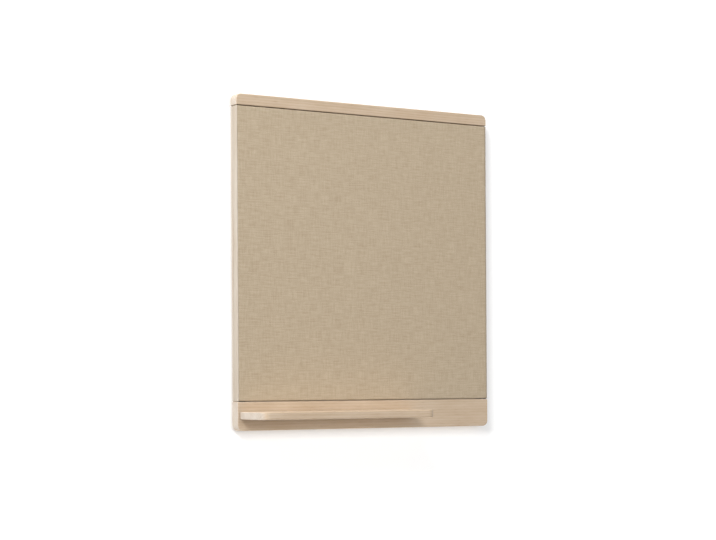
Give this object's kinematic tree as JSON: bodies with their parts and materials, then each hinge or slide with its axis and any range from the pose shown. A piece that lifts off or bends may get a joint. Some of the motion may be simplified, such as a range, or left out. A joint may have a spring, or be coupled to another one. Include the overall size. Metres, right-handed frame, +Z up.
{
  "type": "pin board",
  "caption": "Wall-hung pin board: a linen-covered panel between oak rails, with a small round-cornered oak shelf on the lower rail and bevelled hanging cleats behind.",
  "frame": {"origin": "centre of the wall cleat's back face, on the wall plane", "axes": "+Y into the wall, +Z up, +X to the right of a viewer who faces the board"},
  "size_m": [0.68, 0.135, 0.75],
  "materials": {
    "oak": "pale oak, fine sanded, matt oil",
    "linen": "plain-woven natural linen",
    "soft_board": "soft wood-fibre board",
    "plywood": "birch plywood, sanded",
    "steel": "zinc-plated",
    "felt": "dense wool felt"
  },
  "bodies": {
    "wall_mount": {"wall_cleat": "oak"},
    "board": {"top_rail": "oak", "bottom_rail": "oak", "left_stile": "oak", "right_stile": "oak", "left_top_outer_dowel": "oak", "left_top_inner_dowel": "oak", "left_bottom_outer_dowel": "oak", "left_bottom_inner_dowel": "oak", "right_top_outer_dowel": "oak", "right_top_inner_dowel": "oak", "right_bottom_outer_dowel": "oak", "right_bottom_inner_dowel": "oak", "pin_core": "soft_board", "linen_cover": "linen", "top_staple_1": "steel", "top_staple_2": "steel", "top_staple_3": "steel", "bottom_staple_1": "steel", "bottom_staple_2": "steel", "bottom_staple_3": "steel", "left_staple_1": "steel", "left_staple_2": "steel", "left_staple_3": "steel", "right_staple_1": "steel", "right_staple_2": "steel", "right_staple_3": "steel", "back_panel": "plywood", "left_back_panel_screw_1": "steel", "left_back_panel_screw_2": "steel", "left_back_panel_screw_3": "steel", "right_back_panel_screw_1": "steel", "right_back_panel_screw_2": "steel", "right_back_panel_screw_3": "steel", "top_back_panel_screw_1": "steel", "top_back_panel_screw_2": "steel", "bottom_back_panel_screw_1": "steel", "bottom_back_panel_screw_2": "steel", "panel_screw_1": "steel", "panel_screw_2": "steel", "panel_screw_3": "steel", "panel_screw_4": "steel", "panel_screw_5": "steel", "panel_screw_6": "steel", "board_cleat": "oak", "board_cleat_screw_1": "steel", "board_cleat_screw_2": "steel", "board_cleat_screw_3": "steel", "board_cleat_screw_4": "steel", "left_bumper": "felt", "right_bumper": "felt", "shelf": "oak", "shelf_dowel_1": "oak", "shelf_dowel_2": "oak", "shelf_screw_1": "steel", "shelf_screw_2": "steel", "shelf_screw_3": "steel"}
  },
  "joints": [
    {"name": "lift_off", "type": "slide", "parent": "wall_mount", "child": "board", "axis": [0, 0, 1], "range_m": [0, 0.012]}
  ]
}
